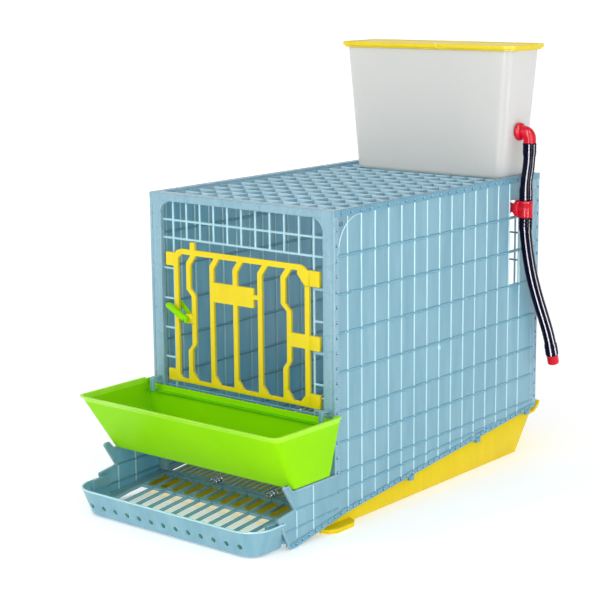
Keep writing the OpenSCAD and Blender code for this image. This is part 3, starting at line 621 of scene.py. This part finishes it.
def tank_lid():
    """A two-step lid: a thick flange over a shallow skirt, a sunk top and a finger notch in front."""
    mesh = bmesh.new()
    steps = [(7.6, 3.8), (7.6, -3.6), (7.2, -4), (5.2, -4), (4.8, -3.6), (4.8, -0.6), (0.8, -0.6), (0, 0.2),
             (0, 5.6), (0.5, 6.6), (1.6, 7), (8.5, 7), (9.4, 6.6), (10, 5.5), (26, 5.5)]
    rings = []
    for inset, rise in steps:
        deep = max(0.0, 4.2 - inset) if rise > -0.7 else 0.0
        w, d = LID_HALF[0] - inset, LID_HALF[1] - inset
        r = max(30 - inset, 6)
        rings.append(layer(mesh, plan(TANK_X - w, TANK_X + w, TANK_Y - d, TANK_Y + d, r, r, 8,
                                      (TANK_X + 33, TANK_X + 49, deep)), TANK_TOP + rise))
    skin(mesh, rings)
    return finish_piece("lid_shell", mesh, [YELLOW], "lid", ["tank_lid"], 35)


# ---------------------------------------------------------------- feeder
TROUGH_LOW, TROUGH_SPLIT, TROUGH_RIM, TROUGH_TAPER = 104, 204, 214, 108


def trough_plan(z, out):
    """The feeder's outline at a height, drawn out by out."""
    t = (z - TROUGH_LOW)/TROUGH_TAPER
    half = 218 + 19*t + out
    return plan(-half, half, -113 - 68*t - out, -10 + 7*t + out, 8 + 6*t + out, 6 + out, 5)


def feeder():
    """A tapered trough with a flat rolled rim on three sides and a lower back wall with a drip ledge."""
    mesh = bmesh.new()
    wall, split, low, rim = 2.5, TROUGH_SPLIT, TROUGH_LOW, TROUGH_RIM
    outside = [(low, -1.6), (low + 0.6, -0.5), (low + 3, 0)]
    outside += [(z, 0) for z in range(124, split, 20)] + [(split, 0)]
    inside = [(split, -wall)] + [(z, -wall) for z in range(184, 120, -20)]
    inside += [(low + 4.6, -wall - 0.6), (low + 2.6, -wall - 3)]
    skin(mesh, [layer(mesh, trough_plan(z, out), z) for z, out in outside + inside])
    # raised rim around the two ends and the front, in a lighter green, a painted highlight; the back stays low
    section = [(split - 1.2, -0.5), (split - 1.2, -0.2), (split - 0.1, 0.02), (rim - 4.4, 0.02),
               (rim - 4, 0.6), (rim - 3.4, 2.4), (rim - 2.6, 3), (rim - 0.8, 3), (rim, 2.2),
               (rim, -wall + 0.8), (rim - 0.9, -wall - 0.02), (split - 0.1, -wall - 0.02),
               (split - 1.2, -wall + 0.4)]
    plans = {item: trough_plan(*item) for item in section}
    count = len(plans[section[0]])
    rings = [[mesh.verts.new((plans[item][k][0]*MM, plans[item][k][1]*MM, item[0]*MM)) for item in section]
             for k in range(4, count - 4)]
    skin(mesh, rings, 1)
    # the drip ledge along the back in a darker green: painted shade
    across(mesh, 229, -9, 193.5, 10, 3, Z, 1.2, 2)
    across(mesh, 229, -3.6, 203.4, 4.6, 3.4, Z, 1.4)
    for s in (-1, 1):
        bar(mesh, (s*229, -15, 209), (s*229, -2, 209), 6, 9, Z, 1.0)
    return finish_piece("feeder_shell", mesh, [GREEN, GREEN_RIM_HIGHLIGHT, GREEN_LEDGE_SHADE], "feeder",
                        ["feeder_trough"], 35)


# ---------------------------------------------------------------- red fittings
def elbow():
    """The tank outlet: a flange and bulbous bend down onto a ringed hose tail."""
    mesh = bmesh.new()
    bend, r = 15, 12.4
    flange = [(9, 215.5), (16.4, 215.5), (17.6, 216.8), (17.8, 220.6), (17, 222.8), (15.2, 224.6),
              (12.6, 226.2)]
    turned(mesh, flange, (0, ELBOW_Y, ELBOW_Z), X)
    turned(mesh, barbed(214, 196, 9), (0, ELBOW_Y, ELBOW_Z), X)
    turn_x, turn_z = LINE_X - bend, ELBOW_Z - bend
    route = [(219, ELBOW_Z, r - 0.6), (221, ELBOW_Z, r)]
    turn = arc(turn_x, turn_z, bend, 90, 0, 10)
    route += [(x, z, r + 1.0*math.sin(math.pi*k/10)) for k, (x, z) in enumerate(turn)]
    route += [(LINE_X, turn_z - 3, r + 0.2), (LINE_X, turn_z - 5, r + 0.2), (LINE_X, turn_z - 6, r - 0.6)]
    rings = []
    for i, (x, z, rr) in enumerate(route):
        ax, az = route[max(i - 1, 0)][:2]
        bx, bz = route[min(i + 1, len(route) - 1)][:2]
        ahead = Vector((bx - ax, 0, bz - az)).normalized()
        up = ahead.cross(Y)
        rings.append([mesh.verts.new((Vector((x, ELBOW_Y, z)) + rr*(math.cos(a)*Y + math.sin(a)*up))*MM)
                      for a in (2*math.pi*k/32 for k in range(32))])
    skin(mesh, rings)
    turned(mesh, barbed(-5, -30), (LINE_X, ELBOW_Y, turn_z), Z)
    return finish_piece("outlet_elbow", mesh, [RED], "cage", ["tank_elbow"], 35)


TEE_Y, TEE_Z = CAGE_D - 86, CAGE_H - 62


def tee():
    """The branch fitting: a short run with rounded ends, a nut against the panel and three ringed tails."""
    mesh = bmesh.new()
    centre = (LINE_X, TEE_Y, TEE_Z)
    run = [(12.6, -17), (13.8, -16.2), (14.2, -15), (14.2, -11), (13.6, -9.5), (13.6, 9.5), (14.2, 11),
           (14.2, 15), (13.8, 16.2), (12.6, 17)]
    turned(mesh, run, centre, Z, sides=40)
    turned(mesh, barbed(16, 39), centre, Z)
    turned(mesh, barbed(-16, -39), centre, Z)
    branch = (0, TEE_Y, TEE_Z)
    turned(mesh, [(12.6, 217), (12.6, 228), (13.4, 231), (13.4, 238)], branch, X)
    nut = [(14, 220.6), (16.8, 221.4), (18.2, 223), (18.4, 229.6), (17.2, 231.8), (14.2, 232.8)]
    turned(mesh, nut, branch, X, sides=20)
    turned(mesh, barbed(218, 186), branch, X)
    bar(mesh, (LINE_X + 1, TEE_Y - 13.2, TEE_Z - 5), (LINE_X + 1, TEE_Y - 13.2, TEE_Z + 5), 5, 2.4, Y, 0.9)
    return finish_piece("branch_tee", mesh, [RED], "cage", ["water_tee"], 28)


def plug():
    """The stopper in the hose's free end: a ribbed grip and a ringed tail."""
    mesh = bmesh.new()
    end, before = lower_points[-1]/MM, lower_points[-2]/MM
    way = (end - before).normalized()
    grip = [(9.2, 21.6), (11.6, 20.2), (12, 18.6), (12, 2.4), (12.4, 1.6), (12.4, 0.2), (11, 0)]
    turned(mesh, grip, end, way, sides=14)
    turned(mesh, barbed(1, -19), end, way)
    return finish_piece("end_plug", mesh, [RED], "cage", ["hose_plug"], 18)


# ---------------------------------------------------------------- small trim on CAD nodes that stay
def tray_rim():
    """A rounded bead along the egg tray's rim, from one side panel round the front to the other, in the pale
    rib colour: a painted highlight.
    """
    mesh = bmesh.new()
    r, z = 45.4, 51
    front = arc(-175, -175, r, 180, 270, 10)
    front += arc(175, -175, r, 270, 360, 10)
    path = [(-220.4, -140)] + front + [(220.4, -140)]
    section = rounded(3.8, 3.2, 1.4)
    rings = []
    for i, (x, y) in enumerate(path):
        ax, ay = path[max(i - 1, 0)]
        bx, by = path[min(i + 1, len(path) - 1)]
        ahead = Vector((bx - ax, by - ay, 0)).normalized()
        side = ahead.cross(Z)
        rings.append([mesh.verts.new((Vector((x, y, z)) + u*side + v*Z)*MM) for u, v in section])
    skin(mesh, rings)
    return finish_piece("tray_rim_bead", mesh, [CAGE_RIB_HIGHLIGHT], "cage", (), 40)


def clip_springs():
    """Bright wire loops over the two steel clips that lock the floor to the egg tray."""
    mesh = bmesh.new()
    for x in (-68, 68):
        for y in (-2, 6, 14):
            loop = [Vector(on_floor(x + 6.5*math.cos(a), y, 4.5 + 6.5*math.sin(a))) for a in
                    (math.radians(20*k) for k in range(0, 18))]
            chain(mesh, loop, 1.8, 1.8, Y, 0.88)
        bar(mesh, on_floor(x - 4, -8, 9), on_floor(x - 4, 18, 9), 2.4, 2.4, Z, 1.1)
        bar(mesh, on_floor(x + 4, -8, 9), on_floor(x + 4, 18, 9), 2.4, 2.4, Z, 1.1)
    return finish_piece("clip_wires", mesh, [STEEL], "cage", (), 40)


water_tank()
tank_lid()
feeder()
elbow()
tee()
tray_rim()
clip_springs()


# ---------------------------------------------------------------- hoses
def smooth_route(points, steps):
    """Points along a Catmull-Rom curve through the given ones."""
    points = [Vector(p) for p in points]
    ends = [2*points[0] - points[1], *points, 2*points[-1] - points[-2]]
    found = []
    for i in range(1, len(ends) - 2):
        a, b, c, d = ends[i - 1:i + 3]
        for k in range(steps):
            t = k/steps
            found.append(0.5*(2*b + (c - a)*t + (2*a - 5*b + 4*c - d)*t*t + (3*b - a - 3*c + d)*t**3))
    found.append(points[-1])
    return found


def tube(name, route, radius, bore, sides=32):
    """A hollow tube along a route; radius gives the outer radius at a distance from each end."""
    run = [0.0]
    for a, b in zip(route, route[1:]):
        run.append(run[-1] + (b - a).length)
    mesh = bmesh.new()
    rings = []
    for inner in (False, True):
        for i, point in enumerate(route):
            ahead = (route[min(i + 1, len(route) - 1)] - route[max(i - 1, 0)]).normalized()
            side = Vector((1, 0, 0))
            up = ahead.cross(side).normalized()
            r = bore if inner else radius(run[i], run[-1] - run[i])
            rings.append([mesh.verts.new(point + r*(math.cos(a)*side + math.sin(a)*up))
                          for a in (2*math.pi*k/sides for k in range(sides))])
    n = len(route)
    pairs = [(rings[i], rings[i + 1]) for i in range(n - 1)] + [(rings[n - 1], rings[2*n - 1])]
    pairs += [(rings[i + 1], rings[i]) for i in range(n, 2*n - 1)] + [(rings[n], rings[0])]
    for a, b in pairs:
        for k in range(sides):
            j = (k + 1) % sides
            mesh.faces.new((a[k], a[j], b[j], b[k]))
    bmesh.ops.recalc_face_normals(mesh, faces=mesh.faces)
    data = bpy.data.meshes.new(name)
    mesh.to_mesh(data)
    mesh.free()
    for face in data.polygons:
        face.use_smooth = True
    piece = bpy.data.objects.new(name, data)
    bpy.context.scene.collection.objects.link(piece)
    return piece


HOSE_R, HOSE_BORE = 11.9*MM, 9.2*MM


def over_barbs(rings=4, swell=0.55*MM, stretch=1.1*MM, length=27*MM):
    """The outer radius of a hose whose ends are stretched over ringed barbs."""
    def radius(from_start, from_end):
        """Wider and rippled near the ends, plain in between."""
        near = min(from_start, from_end)
        fade = min(1.0, max(0.0, (length - near)/(6*MM)))
        ripple = 0.5 - 0.5*math.cos(2*math.pi*rings*near/length)
        return HOSE_R + fade*(stretch + swell*ripple)
    return radius


top, foot = 1000*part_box("upper_hose")[1].z, 1000*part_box("upper_hose")[0].z
# the upper hose is held at both ends: (y, z) down from the elbow to the tee
HELD = [(ELBOW_Y, top), (ELBOW_Y, top - 26), (ELBOW_Y - 2, top - 44), (ELBOW_Y - 5, top - 58),
        (TEE_Y + 2, foot + 42), (TEE_Y, foot + 26), (TEE_Y, foot)]
upper_route = smooth_route([(LINE_X*MM, y*MM, z*MM) for y, z in HELD], 20)
upper_hose = tube("upper_water_hose", upper_route, over_barbs(), HOSE_BORE)
paint(upper_hose, HOSE)
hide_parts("upper_hose")
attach(upper_hose, "cage")

exit_z = 1000*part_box("lower_hose")[1].z
# the lower hose hangs free: (backwards, down) from the tee to the plug
DROP = [(0, 0), (0, 24), (5, 50), (13, 80), (24, 112), (38, 144), (55, 177), (74, 211), (91, 243), (103, 270),
        (112, 297)]
lower_points = [Vector((LINE_X, TEE_Y + y, exit_z - z))*MM for y, z in DROP]
lower_route = smooth_route(lower_points, 16)
lower_hose = tube("lower_water_hose", lower_route, over_barbs(), HOSE_BORE)
paint(lower_hose, HOSE)
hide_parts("lower_hose")
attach(lower_hose, "cage")
end_plug = plug()
LOWER_LENGTH = sum((b - a).length for a, b in zip(lower_route, lower_route[1:]))
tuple(lower_points[0])


# ---------------------------------------------------------------- studio
def studio():
    """A pale floor that curves up all round into a wall, so that no edge shows behind the object."""
    flat, bend, wall = 4.0, 1.6, 2.6
    angles = [math.radians(9*k) for k in range(1, 11)]
    profile = [(flat, 0.0)] + [(flat + bend*math.sin(a), bend - bend*math.cos(a)) for a in angles]
    profile.append((flat + bend, wall))
    mesh = bmesh.new()
    sides = 96
    rings = [[mesh.verts.new((r*math.cos(a), r*math.sin(a), z - 0.0005)) for a in
              (2*math.pi*k/sides for k in range(sides))] for r, z in profile]
    skin(mesh, rings, caps=False)
    mesh.faces.new(rings[0])
    bmesh.ops.recalc_face_normals(mesh, faces=mesh.faces[:])
    data = bpy.data.meshes.new("floor")
    mesh.to_mesh(data)
    mesh.free()
    for face in data.polygons:
        face.use_smooth = True
    floor = bpy.data.objects.new("floor", data)
    bpy.context.scene.collection.objects.link(floor)
    material, tree, shader = nodes_of("floor")
    shader.inputs["Base Color"].default_value = (0.94, 0.94, 0.94, 1)
    shader.inputs["Roughness"].default_value = 0.8
    shader.inputs["Emission Color"].default_value = (1, 1, 1, 1)
    shader.inputs["Emission Strength"].default_value = 0.28
    data.materials.append(material)
    world = bpy.data.worlds.new("studio")
    bpy.context.scene.world = world
    world.use_nodes = True
    world.node_tree.nodes["Background"].inputs["Color"].default_value = (1, 1, 1, 1)
    world.node_tree.nodes["Background"].inputs["Strength"].default_value = WORLD


WORLD = 0.66


def softbox(name, place, target, size, power, shine_only=False, along=(0, 0, 1), pieces=()):
    """A soft rectangular lamp, itself out of the picture. shine_only leaves only its reflections, along leans
    its long side and pieces names the only ones it lights."""
    data = bpy.data.lights.new(name, "AREA")
    data.shape = "RECTANGLE"
    data.size, data.size_y = size
    data.energy = power
    lamp = bpy.data.objects.new(name, data)
    bpy.context.scene.collection.objects.link(lamp)
    lamp.location = place
    back = (Vector(place) - Vector(target)).normalized()
    side = Vector(along).cross(back).normalized()
    lamp.rotation_euler = Matrix((side, back.cross(side), back)).transposed().to_euler()
    lamp.visible_camera = False
    lamp.visible_diffuse = not shine_only
    if pieces:
        lit = bpy.data.collections.new(name)
        for piece in pieces:
            lit.objects.link(piece)
        lamp.light_linking.receiver_collection = lit


studio()
HOSE_SIDE = (0.24, 0.58, 0.45)
softbox("key", (-1.4, -2.8, 2.6), (0, 0.2, 0.3), (1.4, 1.4), 26)
softbox("fill_front", (2.3, -1.6, 1.0), HOSE_SIDE, (0.5, 2.2), 11)
softbox("fill_side", (3.2, 0.0, 1.0), HOSE_SIDE, (0.5, 2.2), 3)
softbox("strip_front", (0.60, -0.77, 1.3), (0.24, 0.58, 0.6), (0.34, 3.0), 60, shine_only=True)
softbox("strip_side", (1.55, 0.10, 1.3), (0.24, 0.58, 0.6), (0.34, 3.0), 60, shine_only=True)
# two lines of shine along each hose: close by, placed for the main camera's view; each aim is what they face
LOWER_AIM, UPPER_AIM = (0.242, 0.63, 0.35), (0.242, 0.637, 0.59)
softbox("hose_left", (0.288, 0.475, 0.25), LOWER_AIM, (0.06, 0.5), 13, shine_only=True,
        along=(0, -0.185, 0.395), pieces=[lower_hose])
softbox("hose_right", (0.435, 0.685, 0.29), LOWER_AIM, (0.05, 0.44), 7, shine_only=True,
        along=(0.03, -0.15, 0.32), pieces=[lower_hose])
softbox("upper_left", (0.308, 0.427, 0.565), UPPER_AIM, (0.06, 0.22), 5.6, shine_only=True,
        pieces=[upper_hose])
softbox("upper_right", (0.455, 0.688, 0.565), UPPER_AIM, (0.05, 0.22), 3.2, shine_only=True,
        pieces=[upper_hose])
